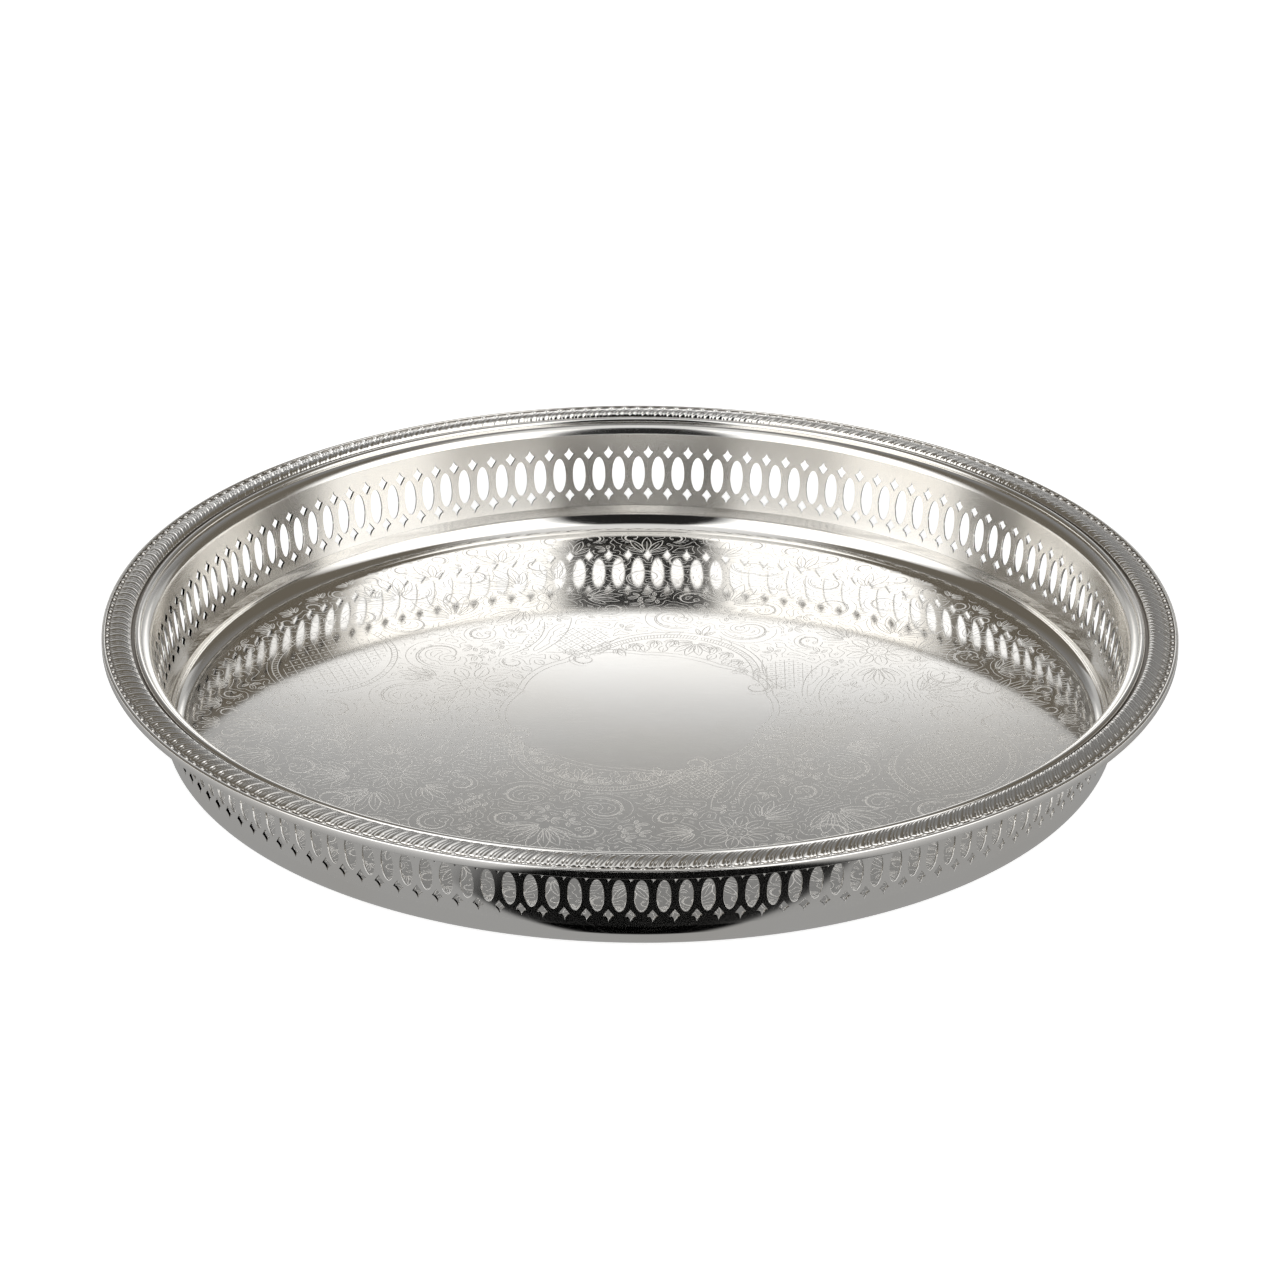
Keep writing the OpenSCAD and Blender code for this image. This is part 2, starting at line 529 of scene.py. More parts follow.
def cut_bars(name, paths):
    """Lines on the floor as slim closed bars of three sides, thinner at open ends."""
    points, faces = [], []
    crest, root = FLOOR_T + 0.045 * MM, FLOOR_T - 0.03 * MM
    for path, half in paths:
        along = np.gradient(path, axis=0)
        length = np.maximum(np.hypot(along[:, 0], along[:, 1]), 1e-9)[:, None]
        side = np.column_stack([-along[:, 1], along[:, 0]]) / length
        closed = np.hypot(*(path[0] - path[-1])) < 1e-7
        share = np.linspace(0, 1, len(path))
        taper = np.ones(len(path)) if closed else 0.45 + 0.55 * np.sin(share * math.pi) ** 0.3
        width = (half * taper)[:, None]
        first = len(points)
        for p, left, right in zip(path, path + side * width, path - side * width):
            points += [(*left, root), (*right, root), (*p, crest)]
        for k in range(len(path) - 1):
            a = first + 3 * k
            faces += [(a, a + 2, a + 5, a + 3), (a + 2, a + 1, a + 4, a + 5), (a + 1, a, a + 3, a + 4)]
        last = first + 3 * (len(path) - 1)
        faces += [(first, first + 1, first + 2), (last, last + 2, last + 1)]
    piece = make_object(name, points, faces)
    piece.data.shade_flat()
    return piece


def make_engraving(limit):
    """All the cut lines: the motifs, sprigs in the gaps and lines that echo both. The ornament's
    four quarters mirror each other, and each is one piece."""
    motifs = quarter_of_ornament()
    motifs = own_quarter(motifs + fill_gaps(motifs))
    field = gap_field(motifs)
    lines = [(points[::2] if len(points) > 6 else points, half) for points, half in motifs]
    for level in ECHO_STEPS:
        lines += [(points, ECHO) for points in level_lines(field, level)]
    pieces = []
    for k, (u_way, v_way) in enumerate(((1, 1), (-1, 1), (1, -1), (-1, -1))):
        paths = []
        for points, half in lines:
            flat = to_floor(points.real * u_way + 1j * points.imag * v_way)
            paths += [(run, half) for run in runs_where(flat, np.hypot(*flat.T) < limit)]
        pieces.append(cut_bars(f"cut_lines_{k + 1}", paths))
    return pieces


# ---- Gallery band ----

PIERCE_COUNT = 144
PITCH_ANGLE = TURN / PIERCE_COUNT
BAND_TURN = math.radians(1.55)
OVAL_H = 11.3 * MM
OVAL_SHARE = 0.635
DIAMOND_H = 4.5 * MM
DIAMOND_SHARE = 0.5
TAIL_PULL = 1.5
OVAL_Z = REED_Z - 17.25 * MM
UPPER_Z = REED_Z - 10.15 * MM
LOWER_Z = REED_Z - 24.3 * MM
EDGE_BEVEL = 0.14 * MM
CELL_STEPS = 4

SHOULDER_R = 3.2 * MM
SHOULDER_STEPS = 12
WALL_TOP_Z = SEAT_Z - SHOULDER_R * (1 - math.sin(FLARE))


def slope(z):
    """Distance along the wall from the seam to height z."""
    return (z - SEAM_Z) / math.cos(FLARE)


def oval_outline(grow, steps=36):
    """Outline of an oval piercing, as pairs of distance across and along the wall."""
    pitch = PITCH_ANGLE * wall_radius(OVAL_Z)
    angles = np.arange(steps) * TURN / steps
    half_w = pitch * OVAL_SHARE / 2 + grow
    half_h = OVAL_H / 2 + grow
    return np.column_stack([half_w * np.cos(angles), slope(OVAL_Z) + half_h * np.sin(angles)])


def diamond_outline(z, grow, steps=4):
    """Right half of a diamond piercing, from its foot to its tip. The sides are straight towards the
    ovals and bow inwards to a narrow tail on the far side."""
    pitch = PITCH_ANGLE * wall_radius(OVAL_Z)
    half_w = pitch * DIAMOND_SHARE / 2 + grow
    half_h = DIAMOND_H / 2 + grow
    t = np.linspace(0, 1, steps + 1)
    foot_pull, tip_pull = (1, TAIL_PULL) if z > OVAL_Z else (TAIL_PULL, 1)
    lower = np.column_stack([half_w * t**foot_pull, slope(z) - half_h * (1 - t) ** foot_pull])
    upper = np.column_stack([half_w * (1 - t) ** tip_pull, slope(z) + half_h * t**tip_pull])
    return np.vstack([lower, upper[1:]])


def wall_point(across, along, depth):
    """A point of the wall. Depth runs inwards from the outer face."""
    angle = across / wall_radius(OVAL_Z)
    r = SEAM_R + along * math.sin(FLARE) - depth * math.cos(FLARE)
    z = SEAM_Z + along * math.cos(FLARE) + depth * math.sin(FLARE)
    return r, angle, z


def wall_cell():
    """One pitch of the wall: its points as (across, along, depth, normal across, normal along,
    normal outwards) and its faces."""
    half = PITCH_ANGLE * wall_radius(OVAL_Z) / 2
    top = slope(WALL_TOP_Z)
    outlines = {}
    for grow in (EDGE_BEVEL, 0.0):
        shapes = [oval_outline(grow)]
        for z in (UPPER_Z, LOWER_Z):
            right = diamond_outline(z, grow)
            shapes.append(right - (half, 0))
            shapes.append(right * (-1, 1) + (half, 0))
        outlines[grow] = shapes
    rim = outlines[EDGE_BEVEL]
    # The face between the holes, as a flat pattern
    flat, edges = [], []
    for shape in rim:
        first = len(flat)
        flat += [tuple(p) for p in shape]
        count = len(shape)
        closing = count if shape is rim[0] else count - 1
        edges += [(first + k, first + (k + 1) % count) for k in range(closing)]
    border = [(-half + 2 * half * k / CELL_STEPS, y) for y in (0.0, top) for k in range(CELL_STEPS + 1)]
    flat += border
    scale = 1 / half
    verts, _, tris, _, _, _ = delaunay_2d_cdt([Vector(p) * scale for p in flat], edges, [], 0, 1e-7)
    verts = [Vector(v) / scale for v in verts]

    def in_hole(p):
        oval = rim[0]
        across = (p.x / oval[:, 0].max()) ** 2
        along = ((p.y - slope(OVAL_Z)) / (OVAL_H / 2 + EDGE_BEVEL)) ** 2
        if across + along < 0.999:
            return True
        reach = half - abs(p.x)
        for z in (UPPER_Z, LOWER_Z):
            shape = diamond_outline(z, EDGE_BEVEL)
            if shape[0][1] < p.y < shape[-1][1]:
                if reach < np.interp(p.y, shape[:, 1], shape[:, 0]) * 0.999:
                    return True
        return False

    kept = [t for t in tris if not in_hole(sum((verts[i] for i in t), Vector((0, 0))) / 3)]
    points, faces = [], []
    outer_at = len(points)
    points += [(v.x, v.y, 0.0, 0.0, 0.0, 1.0) for v in verts]
    inner_at = len(points)
    points += [(v.x, v.y, WALL_T, 0.0, 0.0, -1.0) for v in verts]
    faces += [tuple(outer_at + i for i in t) for t in kept]
    faces += [tuple(inner_at + i for i in reversed(t)) for t in kept]

    def find(p):
        gaps = [(v - Vector(p)).length for v in verts]
        return int(np.argmin(gaps))

    # The edges of each hole: a small bevel on both faces and the cut between them
    for shape_out, shape_in in zip(rim, outlines[0.0]):
        count = len(shape_in)
        closing = count if shape_out is rim[0] else count - 1
        middle = np.array([0.0, slope(OVAL_Z)]) if shape_out is rim[0] else None
        if middle is None:
            middle = np.array([math.copysign(half, shape_in[0][0]), (shape_in[0][1] + shape_in[-1][1]) / 2])
        levels = [EDGE_BEVEL, WALL_T - EDGE_BEVEL]
        rings = []
        for depth, facing in zip(levels, (0.35, -0.35)):
            ring = []
            for p in shape_in:
                inward = (middle - p) / np.linalg.norm(middle - p)
                ring.append(len(points))
                points.append((p[0], p[1], depth, inward[0], inward[1], facing))
            rings.append(ring)
        edge_out = [outer_at + find(p) for p in shape_out]
        edge_in = [inner_at + find(p) for p in shape_out]
        loops = [edge_out, rings[0], rings[1], edge_in]
        for upper, lower in zip(loops, loops[1:]):
            for k in range(closing):
                j = (k + 1) % count
                faces.append((upper[k], upper[j], lower[j], lower[k]))
    # The closed edge at the seam
    foot_out = [outer_at + find((-half + 2 * half * k / CELL_STEPS, 0.0)) for k in range(CELL_STEPS + 1)]
    foot_in = [f - outer_at + inner_at for f in foot_out]
    for k in range(CELL_STEPS):
        faces.append((foot_out[k + 1], foot_out[k], foot_in[k], foot_in[k + 1]))
    return points, faces, half


def shoulder_section():
    """The shoulder and the turned-out edge: rows of radius, height and the two parts of the normal,
    from the wall's inner face over the top and back to its outer face."""
    top = slope(WALL_TOP_Z)
    r, _, z = wall_point(0, top, WALL_T)
    middle = (r + SHOULDER_R * math.cos(FLARE), z - SHOULDER_R * math.sin(FLARE))
    turns = np.linspace(FLARE, math.pi / 2, SHOULDER_STEPS + 1)
    normals = np.column_stack([-np.cos(turns), np.sin(turns)])
    seen = np.hstack([middle + SHOULDER_R * normals, normals])
    under = np.hstack([middle + (SHOULDER_R - WALL_T) * normals, -normals])[::-1]
    top_z, under_z, small = seen[-1][1], under[0][1], 0.2 * MM
    edge = [(FLANGE_R - small, top_z, 0.1, 1), (FLANGE_R, top_z - small, 1, 0.2)]
    edge += [(FLANGE_R, under_z + small, 1, -0.2), (FLANGE_R - small, under_z, 0.1, -1)]
    return np.vstack([seen, edge, under])


def make_band():
    """The pierced wall, one cell for each pitch, and the edge turned out under the border."""
    cell, cell_faces, half = wall_cell()
    cell = np.array(cell)
    on_right = np.abs(cell[:, 0] - half) < 1e-7
    own = np.flatnonzero(~on_right)
    local = np.full(len(cell), -1)
    local[own] = np.arange(len(own))
    partner = {}
    for i in np.flatnonzero(on_right):
        match = np.abs(cell[own][:, 0] + half) + np.abs(cell[own][:, 1] - cell[i, 1])
        match += np.abs(cell[own][:, 2] - cell[i, 2]) + 1e-5 * np.abs(cell[own][:, 5] - cell[i, 5])
        partner[i] = int(np.argmin(match))
    points, normals, faces = [], [], []
    for c in range(PIERCE_COUNT):
        turn = BAND_TURN + (c + 0.5) * PITCH_ANGLE
        for across, along, depth, n_across, n_along, n_out in cell[own]:
            if abs(across + half) < 1e-7:
                n_across = 0.0
            r, angle, z = wall_point(across, along, depth)
            a = turn + angle
            radial = n_along * math.sin(FLARE) + n_out * math.cos(FLARE)
            up = n_along * math.cos(FLARE) - n_out * math.sin(FLARE)
            points.append((r * math.cos(a), r * math.sin(a), z))
            normal = Vector(
                (
                    radial * math.cos(a) - n_across * math.sin(a),
                    radial * math.sin(a) + n_across * math.cos(a),
                    up,
                )
            )
            normals.append(normal.normalized() if normal.length > 1e-9 else Vector((0, 0, 1)))
        here, after = c * len(own), (c + 1) % PIERCE_COUNT * len(own)
        for face in cell_faces:
            faces.append([after + partner[i] if on_right[i] else here + int(local[i]) for i in face])
    # The shoulder and the turned-out edge go on from the wall's top, with its steps round the ring
    ring_steps = PIERCE_COUNT * CELL_STEPS
    angles = BAND_TURN + np.arange(ring_steps) * TURN / ring_steps
    section = shoulder_section()
    first = len(points)
    for r, z, n_r, n_z in section:
        for a in angles:
            points.append((r * math.cos(a), r * math.sin(a), z))
            normals.append(Vector((n_r * math.cos(a), n_r * math.sin(a), n_z)).normalized())
    for k in range(len(section) - 1):
        low, high = first + k * ring_steps, first + (k + 1) * ring_steps
        for i in range(ring_steps):
            j = (i + 1) % ring_steps
            faces.append((low + i, high + i, high + j, low + j))
    piece = make_object("pierced_band", points, faces)
    piece.data.normals_split_custom_set_from_vertices([tuple(n) for n in normals])
    return piece


# ---- Border ----

LOBES = 240
LOBE_STEPS = 24
RIM_STEPS = 480
JOINT_TURN = math.radians(-2.6)
JOINT_GAP = math.radians(0.03)

WEB_Z = REED_Z - 0.95 * MM
REED_R, REED_AT = 1.05 * MM, OUTER_R - 11.05 * MM
GADROON_IN, GADROON_OUT = OUTER_R - 9.3 * MM, OUTER_R - 2.6 * MM
BEAD_AT, BEAD_R, BEAD_LENGTH = OUTER_R - 1.8 * MM, 0.72 * MM, 1.15 * MM
LIP_W, LIP_H, LIP_TOP = 1.1 * MM, 2.9 * MM, REED_Z - 0.35 * MM
LIP_ROUND = 0.5 * MM
SWEEP = 1.4
SWEEP_BEND = 1.5
DOME_PEAK = 0.887
RIDGE = 0.38
# Where each ridge stands across a lobe, half its width and its height
BUMPS = ((0.23, 0.25, 1.0), (0.61, 0.15, 0.92), (0.87, 0.15, 0.88), (-0.13, 0.15, 0.88))
PIT_PLACES = (0.48, 0.74)
PIT_ACROSS = 0.82
TOP_ROWS = 22
BEAD_ROWS = 7


def round_run(at, height, radius, start, end, steps):
    """Points of a round stretch of a section, as rows of radius and height."""
    angles = np.radians(np.linspace(start, end, steps))
    return np.column_stack([at + radius * np.cos(angles), height + radius * np.sin(angles)])


def rim_section():
    """The plain part of the border: the reed, the web and the smooth outer lip."""
    inner, outer = OUTER_R - LIP_W, OUTER_R
    small = 0.25 * MM
    floor_z = WEB_Z - 0.3 * MM
    bottom = LIP_TOP - LIP_H
    seat_angle = math.degrees(math.asin((SEAT_Z - REED_Z + REED_R) / REED_R))
    return np.vstack(
        [
            round_run(REED_AT, REED_Z - REED_R, REED_R, 180 - seat_angle, 0, 20),
            [(REED_AT + REED_R, floor_z), (inner, floor_z)],
            round_run(inner + small, LIP_TOP - small, small, 180, 90, 4),
            round_run(outer - LIP_ROUND, LIP_TOP - LIP_ROUND, LIP_ROUND, 90, 0, 6),
            round_run(outer - LIP_ROUND, bottom + LIP_ROUND, LIP_ROUND, 0, -90, 6),
            [(inner + small, bottom), (inner, bottom + small), (inner, SEAT_Z)],
        ]
    )


def lobe_ridges(place):
    """Height across one lobe, from 0 to 1: a broad body and two fine flutes beside it, with sharp
    grooves between them."""
    rises = [high * np.clip(1 - ((place - at) / half) ** 2, 0, 1) ** 0.6 for at, half, high in BUMPS]
    return np.maximum.reduce(rises)


def gadroon_height(across, phase):
    """Height of the gadroon above the web and its ridges, both in shares of the crown. Its section
    rises quickly from the reed to the crown and falls slowly to the beads. Each lobe is a plume
    that starts square to the lip and sweeps round to lie along the mouth, and its flutes end in
    small pits."""
    inner = 1 - across
    place = np.mod(phase - SWEEP * inner**SWEEP_BEND, 1.0)
    ridges = lobe_ridges(place)
    dome = (1 - inner**6) ** 0.6 * (1 - 0.8 * across**2.2) / DOME_PEAK
    pits = sum(np.exp(-(((place - at) / 0.05) ** 2)) for at in PIT_PLACES)
    pits = pits * np.exp(-(((across - PIT_ACROSS) / 0.07) ** 2))
    return dome * (1 - RIDGE * (1 - ridges)) - 0.1 * pits, ridges - 0.8 * pits


def turned_strip(name, section, angles, lift=0.0):
    """A closed strip of the border: its section carried along the angles, with points raised by
    lift, which is one number or a number for each angle and section point."""
    r, z = section[:, 0], section[:, 1] + np.zeros((len(angles), 1)) + lift
    x, y = r * np.cos(angles)[:, None], r * np.sin(angles)[:, None]
    points = np.stack([x, y, z], axis=-1).reshape(-1, 3)
    index = np.arange(len(points)).reshape(len(angles), len(section))
    following = np.roll(index, -1, axis=1)
    quads = np.stack([index[:-1], index[1:], following[1:], following[:-1]], axis=-1).reshape(-1, 4)
    piece = make_object(name, points, quads.tolist() + [index[0].tolist(), index[-1][::-1].tolist()])
    piece.data.set_sharp_from_angle(angle=math.radians(55))
    return piece


def half_angles(start, steps):
    """Angles of half the ring from a joint on, short of the joints by a hair."""
    return np.linspace(start + JOINT_GAP, start + math.pi - JOINT_GAP, steps + 1)


def make_rim_half(name, start):
    """Half of the plain rim. Tarnish lies in the channel beside the reed."""
    section = rim_section()
    rim = turned_strip(name, section, half_angles(start, RIM_STEPS))
    low = section[:, 1] < WEB_Z + 0.05 * MM
    inside = (section[:, 0] > REED_AT) & (section[:, 0] < OUTER_R - LIP_W + 0.1 * MM)
    add_mask(rim, "recess", np.tile(np.where(low & inside, 0.95, 0.0), RIM_STEPS + 1))
    return rim


def make_gadroon_half(name, start):
    """Half of the gadroon, set into the rim's channel, with one bead for each lobe outside it."""
    steps = LOBES * LOBE_STEPS // 2
    phase = np.arange(steps + 1)[:, None] / LOBE_STEPS
    lobes_r = np.linspace(GADROON_IN, GADROON_OUT, TOP_ROWS)
    beads_r = GADROON_OUT + np.linspace(0.15, 1.35, BEAD_ROWS) * MM
    top_r = np.concatenate([lobes_r, beads_r])
    top = np.column_stack([top_r, np.full(len(top_r), WEB_Z)])
    foot_z = SEAT_Z + 0.1 * MM
    section = np.vstack([top, [(top_r[-1], foot_z), (top_r[0], foot_z)]])
    across = (section[:, 0] - GADROON_IN) / (GADROON_OUT - GADROON_IN)
    on_top = np.arange(len(section)) < len(top)
    in_lobes = on_top & (across <= 1)
    height, ridges = gadroon_height(np.clip(across, 0, 1), phase)
    bead_across = (section[:, 0] - BEAD_AT) / BEAD_R
    bead_along = (np.mod(phase + 0.5, 1.0) - 0.5) * TURN / LOBES * BEAD_AT / BEAD_LENGTH
    bead = np.sqrt(np.clip(1 - bead_across**2 - bead_along**2, 0, 1)) * (on_top & ~in_lobes)
    lift = np.where(in_lobes, (TOP_Z - WEB_Z) * height, BEAD_R * bead)
    gadroon = turned_strip(name, section, half_angles(start, steps), lift)
    recess = np.where(in_lobes, np.clip(1 - 2 * ridges, 0, 1), 0.85 * (1 - bead))
    recess = np.where(in_lobes & (height < 0.2), 1.0, recess)
    add_mask(gadroon, "recess", recess.reshape(-1))
    return gadroon


# ---- Materials ----


def node(tree, kind, settings=None, **inputs):
    """A node with its settings, and its inputs linked or set. Underscores stand for spaces."""
    made = tree.nodes.new(kind)
    for key, value in (settings or {}).items():
        setattr(made, key, value)
    for key, value in inputs.items():
        socket = made.inputs[key.replace("_", " ")]
        if isinstance(value, bpy.types.NodeSocket):
            tree.links.new(value, socket)
        else:
            socket.default_value = value
    return made


def calc(tree, operation, a, b=0.0, clamp=False):
    made = tree.nodes.new("ShaderNodeMath")
    made.operation = operation
    made.use_clamp = clamp
    for socket, value in zip(made.inputs, (a, b)):
        if isinstance(value, bpy.types.NodeSocket):
            tree.links.new(value, socket)
        else:
            socket.default_value = value
    return made.outputs[0]


def between(tree, value, low, high):
    """0 below low, 1 above high, and a smooth rise between them."""
    made = node(tree, "ShaderNodeMapRange", {"interpolation_type": "SMOOTHSTEP"}, Value=value)
    made.inputs["From Min"].default_value = low
    made.inputs["From Max"].default_value = high
    return made.outputs["Result"]


def mix_colour(tree, share, a, b):
    made = tree.nodes.new("ShaderNodeMix")
    made.data_type = "RGBA"
    for socket, value in ((made.inputs[0], share), (made.inputs[6], a), (made.inputs[7], b)):
        if isinstance(value, bpy.types.NodeSocket):
            tree.links.new(value, socket)
        else:
            socket.default_value = value if socket is made.inputs[0] else (*value, 1)
    return made.outputs[2]


SILVER = (0.93, 0.915, 0.885)
SILVER_WARM = (0.90, 0.875, 0.83)
TARNISH = (0.30, 0.27, 0.235)


def scratches(tree, place, turn, length, width):
    """Fine straight marks that run one way, as a number from 0 to 1."""
    turned = node(tree, "ShaderNodeMapping", Vector=place)
    turned.inputs["Rotation"].default_value = (0.0, 0.0, math.radians(turn))
    turned.inputs["Scale"].default_value = (1 / length, 1 / width, 1 / length)
    noise = node(tree, "ShaderNodeTexNoise", Vector=turned.outputs[0], Scale=1.0, Detail=2.0)
    return between(tree, noise.outputs["Fac"], 0.62, 0.72)


def silver(name, roughness, tarnish, wave, metallic=1.0):
    """Polished silver: slow changes of tint, tarnish where the recess mask says, fine polishing
    marks in three directions and a slight unevenness of the sheet."""
    material = bpy.data.materials.new(name)
    material.use_nodes = True
    tree = material.node_tree
    shader = tree.nodes["Principled BSDF"]
    shader.inputs["Metallic"].default_value = metallic
    place = node(tree, "ShaderNodeTexCoord").outputs["Object"]
    cloud = node(tree, "ShaderNodeTexNoise", Vector=place, Scale=14.0, Detail=4.0).outputs["Fac"]
    speckle = node(tree, "ShaderNodeTexNoise", Vector=place, Scale=420.0, Detail=3.0).outputs["Fac"]
    tint = mix_colour(tree, between(tree, cloud, 0.35, 0.7), SILVER, SILVER_WARM)
    recess = node(tree, "ShaderNodeAttribute", {"attribute_name": "recess"}).outputs["Fac"]
    dirt = calc(tree, "MULTIPLY", recess, calc(tree, "ADD", 0.55, speckle), clamp=True)
    dirt = calc(tree, "MULTIPLY", between(tree, dirt, 0.25, 0.9), tarnish)
    tree.links.new(mix_colour(tree, dirt, tint, TARNISH), shader.inputs["Base Color"])
    marks = scratches(tree, place, 25, 9 * MM, 0.09 * MM)
    marks = calc(tree, "MAXIMUM", marks, scratches(tree, place, -50, 6 * MM, 0.07 * MM))
    marks = calc(tree, "MAXIMUM", marks, scratches(tree, place, 95, 12 * MM, 0.10 * MM))
    rough = calc(tree, "MULTIPLY", cloud, roughness * 0.8)
    rough = calc(tree, "ADD", rough, roughness * 0.6)
    rough = calc(tree, "ADD", rough, calc(tree, "MULTIPLY", marks, 0.06))
    rough = calc(tree, "ADD", rough, calc(tree, "MULTIPLY", dirt, 0.25))
    tree.links.new(rough, shader.inputs["Roughness"])
    slow = node(tree, "ShaderNodeTexNoise", Vector=place, Scale=38.0, Detail=1.0).outputs["Fac"]
    uneven = node(tree, "ShaderNodeBump", Height=slow, Strength=wave, Distance=0.02 * MM)
    fine = node(tree, "ShaderNodeBump", Height=marks, Strength=0.10, Distance=0.005 * MM)
    tree.links.new(uneven.outputs[0], fine.inputs["Normal"])
    tree.links.new(fine.outputs[0], shader.inputs["Normal"])
    return material


def give(piece, material):
    piece.data.materials.clear()
    piece.data.materials.append(material)


# ---- Studio ----


def emission(name, build_strength):
    """A material that only gives off light, as strong as build_strength says."""
    material = bpy.data.materials.new(name)
    material.use_nodes = True
    tree = material.node_tree
    tree.nodes.clear()
    light = node(tree, "ShaderNodeEmission", Strength=build_strength(tree))
    out = tree.nodes.new("ShaderNodeOutputMaterial")
    tree.links.new(light.outputs[0], out.inputs["Surface"])
    return material


def hide_from_camera(card):
    card.visible_camera = False
    card.visible_diffuse = False
    card.visible_shadow = False


def make_floor():
    size = 40 * OUTER_R
    floor = make_object(
        "studio_floor",
        [(-size, -size, 0), (size, -size, 0), (size, size, 0), (-size, size, 0)],
        [(0, 1, 2, 3)],
    )
    floor.location.z = -0.02 * MM
    material = bpy.data.materials.new("white_table")
    material.use_nodes = True
    shader = material.node_tree.nodes["Principled BSDF"]
    shader.inputs["Base Color"].default_value = (0.85, 0.85, 0.85, 1)
    shader.inputs["Roughness"].default_value = 0.9
    shader.inputs["Specular IOR Level"].default_value = 0.0
    shader.inputs["Emission Color"].default_value = (1, 1, 1, 1)
    shader.inputs["Emission Strength"].default_value = 0.7
    give(floor, material)


def exponential(tree, value):
    return calc(tree, "POWER", math.e, value)


def make_back_card():
    """A tall soft card behind the tray for its floor to mirror: white low down and in the middle,
    fading to grey higher up and towards the sides."""
    y, half, top = 6 * OUTER_R, 4 * OUTER_R, 3.4 * OUTER_R
    corners = [(-half, y, 0), (half, y, 0), (half, y, top), (-half, y, top)]
    card = make_object("back_card", corners, [(0, 1, 2, 3)])

    def strength(tree):
        place = node(tree, "ShaderNodeTexCoord").outputs["Object"]
        parts = node(tree, "ShaderNodeSeparateXYZ", Vector=place)
        above = calc(tree, "MAXIMUM", calc(tree, "SUBTRACT", parts.outputs["Z"], 2.75 * OUTER_R), 0.0)
        white = exponential(tree, calc(tree, "MULTIPLY", above, -1 / (0.2 * OUTER_R)))
        off = calc(tree, "ABSOLUTE", calc(tree, "SUBTRACT", parts.outputs["X"], 0.1 * OUTER_R))
        aside = between(tree, off, 0.7 * OUTER_R, 1.8 * OUTER_R)
        dimmed = calc(tree, "MULTIPLY", aside, 0.75)
        white = calc(tree, "MULTIPLY", white, calc(tree, "SUBTRACT", 1.0, dimmed))
        return calc(tree, "ADD", 0.25, calc(tree, "MULTIPLY", white, 1.0))

    give(card, emission("back_card_light", strength))
    hide_from_camera(card)


def make_table_card():
    """A card on the table that only shows in the silver: painted shade, grey near the tray and brighter
    further out, with a painted black patch in front, so that its outside has something dark to mirror."""
    steps = 96
    inner, outer = 0.80 * OUTER_R, 3.2 * OUTER_R
    points, faces = [], []
    for k in range(steps):
        a = TURN * k / steps
        points += [(r * math.cos(a), r * math.sin(a), 0.05 * MM) for r in (inner, outer)]
        n = 2 * ((k + 1) % steps)
        faces.append((2 * k, 2 * k + 1, n + 1, n))
    card = make_object("table_card", points, faces)

    def strength(tree):
        place = node(tree, "ShaderNodeTexCoord").outputs["Object"]
        parts = node(tree, "ShaderNodeSeparateXYZ", Vector=place)
        off = calc(tree, "ABSOLUTE", calc(tree, "SUBTRACT", parts.outputs["X"], 0.1 * OUTER_R))
        # Painted dark reflection: a black patch in front of the tray, seen only in the silver
        painted_dark_patch = calc(tree, "SUBTRACT", 1.0, between(tree, off, 0.4 * OUTER_R, 0.6 * OUTER_R))
        nearer = calc(tree, "MULTIPLY", parts.outputs["Y"], -1.0)
        painted_dark_patch = calc(tree, "MULTIPLY", painted_dark_patch, between(tree, nearer, 0.91 * OUTER_R, 0.92 * OUTER_R))
        length = node(tree, "ShaderNodeVectorMath", {"operation": "LENGTH"})
        tree.links.new(place, length.inputs[0])
        far = between(tree, length.outputs["Value"], 1.15 * OUTER_R, 1.7 * OUTER_R)
        # Painted shade: dim grey near the tray, where the rim shades the floor, brighter further out
        grey = calc(tree, "ADD", 0.33, calc(tree, "MULTIPLY", far, 0.35))
        return calc(tree, "MULTIPLY", grey, calc(tree, "SUBTRACT", 1.0, painted_dark_patch))

    give(card, emission("table_card_painted_reflection", strength))
    hide_from_camera(card)


# The room round the tray: how bright it is from the camera round to the back, as shares of half a
# turn, and the brightest level
ROOM_STOPS = (
    (0.00, (0.01, 0.01, 0.01)),
    (0.10, (0.01, 0.01, 0.01)),
    (0.14, (0.95, 0.95, 0.95)),
    (0.42, (1.00, 1.00, 1.00)),
    (0.50, (0.09, 0.08, 0.065)),
    (0.72, (0.09, 0.08, 0.065)),
    (0.90, (0.14, 0.14, 0.14)),
)
ROOM_LEVEL = 1.5
OVERHEAD_LEVEL = 0.75


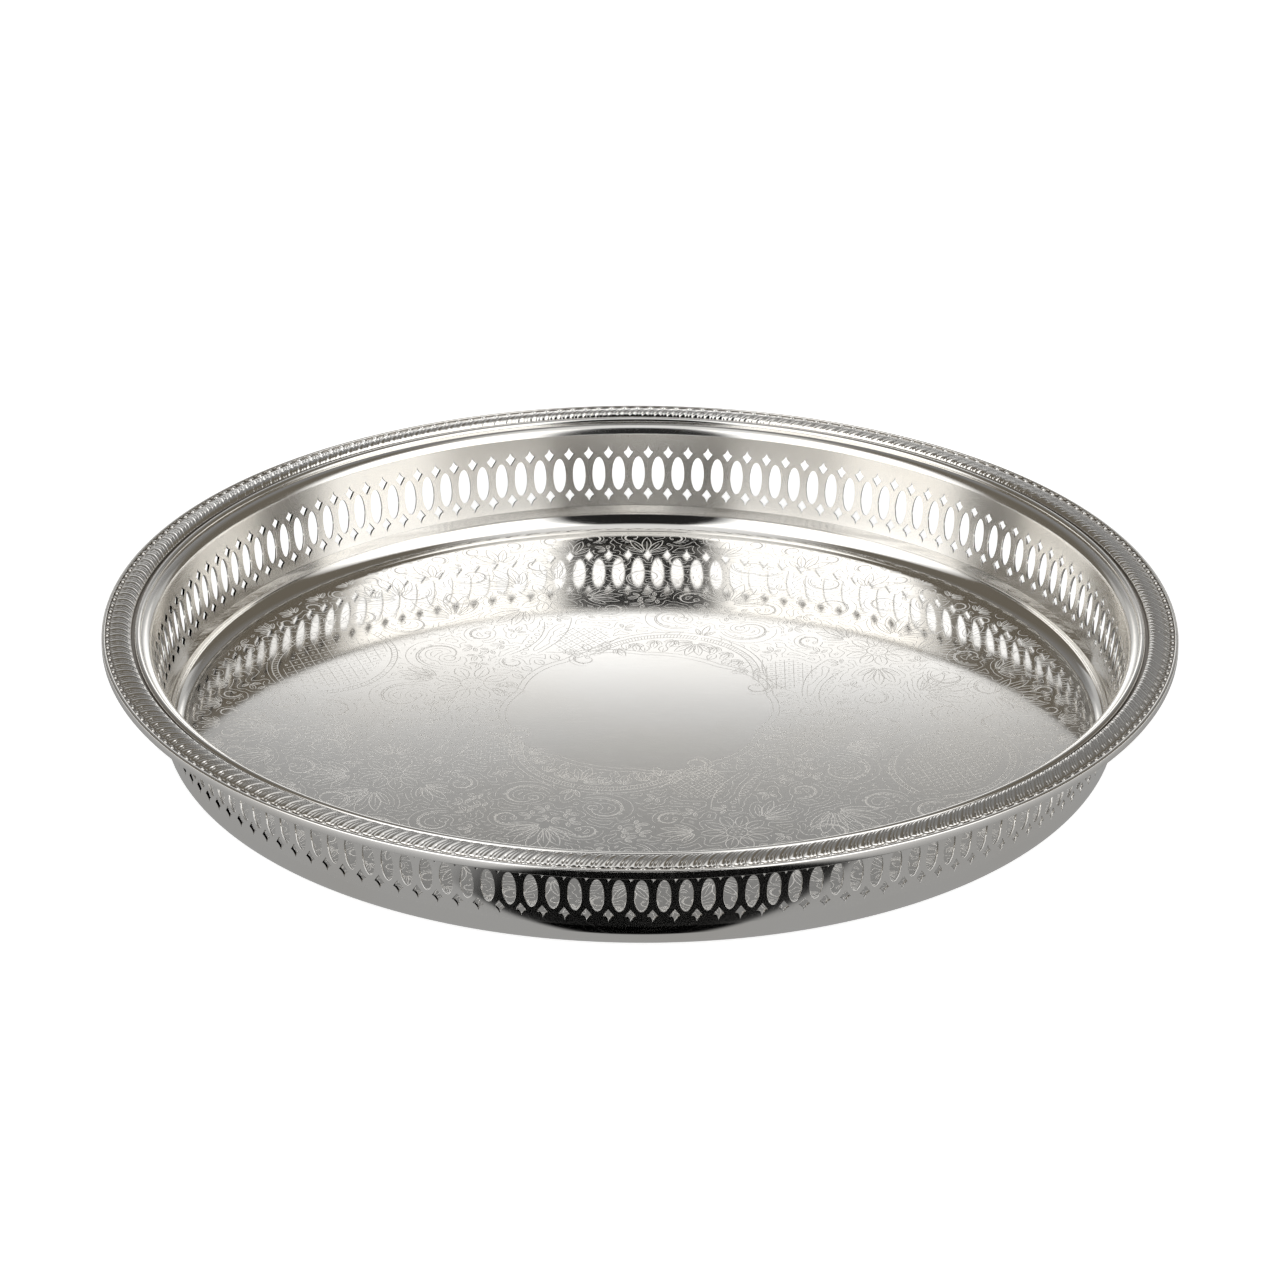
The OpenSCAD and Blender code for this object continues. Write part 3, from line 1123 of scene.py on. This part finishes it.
def make_world():
    """A room with a soft white light at each side and one overhead. It is dark at the camera, and
    dim and warm behind. The camera itself sees plain white."""
    world = bpy.data.worlds.new("studio")
    bpy.context.scene.world = world
    world.use_nodes = True
    tree = world.node_tree
    tree.nodes.clear()
    way = node(tree, "ShaderNodeTexCoord").outputs["Generated"]
    parts = node(tree, "ShaderNodeSeparateXYZ", Vector=way)
    x, y, z = (parts.outputs[k] for k in "XYZ")
    angle = calc(tree, "ARCTAN2", x, calc(tree, "MULTIPLY", y, -1.0))
    turn = calc(tree, "DIVIDE", calc(tree, "ABSOLUTE", angle), math.pi)
    ring = tree.nodes.new("ShaderNodeValToRGB")
    tree.links.new(turn, ring.inputs[0])
    elements = ring.color_ramp.elements
    while len(elements) < len(ROOM_STOPS):
        elements.new(0.5)
    for element, (at, colour) in zip(elements, ROOM_STOPS):
        element.position = at
        element.color = (*colour, 1)
    walls = node(tree, "ShaderNodeBackground", Color=ring.outputs["Color"], Strength=ROOM_LEVEL)
    ceiling = node(tree, "ShaderNodeBackground", Color=(1, 1, 1, 1), Strength=OVERHEAD_LEVEL)
    room = node(tree, "ShaderNodeMixShader", Fac=between(tree, z, 0.90, 0.985))
    tree.links.new(walls.outputs[0], room.inputs[1])
    tree.links.new(ceiling.outputs[0], room.inputs[2])
    plain = node(tree, "ShaderNodeBackground", Color=(1, 1, 1, 1), Strength=1.0)
    ray = node(tree, "ShaderNodeLightPath").outputs["Is Camera Ray"]
    pick = node(tree, "ShaderNodeMixShader", Fac=ray)
    tree.links.new(room.outputs[0], pick.inputs[1])
    tree.links.new(plain.outputs[0], pick.inputs[2])
    out = tree.nodes.new("ShaderNodeOutputWorld")
    tree.links.new(pick.outputs[0], out.inputs["Surface"])


def make_camera():
    """The photograph's view: well back, a little over 25 degrees above the rim."""
    rim = Vector((0, 0, REED_Z))
    distance = 13.12 * OUTER_R
    above = math.radians(25.57)
    dip = math.radians(0.155)
    roll = math.radians(0.246)
    camera = bpy.data.objects.new("camera", bpy.data.cameras.new("camera"))
    camera.data.lens = 198.35
    camera.data.sensor_width = 36
    camera.data.clip_end = 100
    turn = Matrix.Rotation(math.pi / 2 - above - dip, 4, "X") @ Matrix.Rotation(roll, 4, "Z")
    spot = rim + distance * Vector((0, -math.cos(above), math.sin(above)))
    camera.matrix_world = Matrix.Translation(spot) @ turn
    bpy.context.scene.collection.objects.link(camera)
    bpy.context.scene.camera = camera


# ---- The scene ----

make_camera()
make_world()
make_floor()
make_back_card()
make_table_card()
bpy.context.scene.view_settings.view_transform = "Standard"

polished = silver("polished_silver", 0.07, 0.3, 0.25)
cut = silver("cut_silver", 0.6, 0.0, 0.0, metallic=0.1)
pierced = silver("pierced_silver", 0.15, 0.3, 0.3)
turned = silver("turned_silver", 0.12, 0.9, 0.0)
cast = silver("cast_silver", 0.10, 0.7, 0.0)

pan = make_pan()
give(pan, polished)
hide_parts("floor_pan")

engraving = make_engraving(FLAT_R)
for quarter in engraving:
    give(quarter, cut)

band = make_band()
give(band, pierced)
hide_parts("gallery_band")

halves = {"border_back": JOINT_TURN, "border_front": JOINT_TURN + math.pi}
borders = []
for cad_node, start in halves.items():
    side = cad_node.removeprefix("border_")
    rim = make_rim_half("rim_" + side, start)
    gadroon = make_gadroon_half("gadroon_" + side, start)
    for border, finish in ((rim, turned), (gadroon, cast)):
        give(border, finish)
        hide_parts(cad_node)
        borders.append(border)

for piece in (pan, *engraving, band, *borders):
    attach(piece, "root")
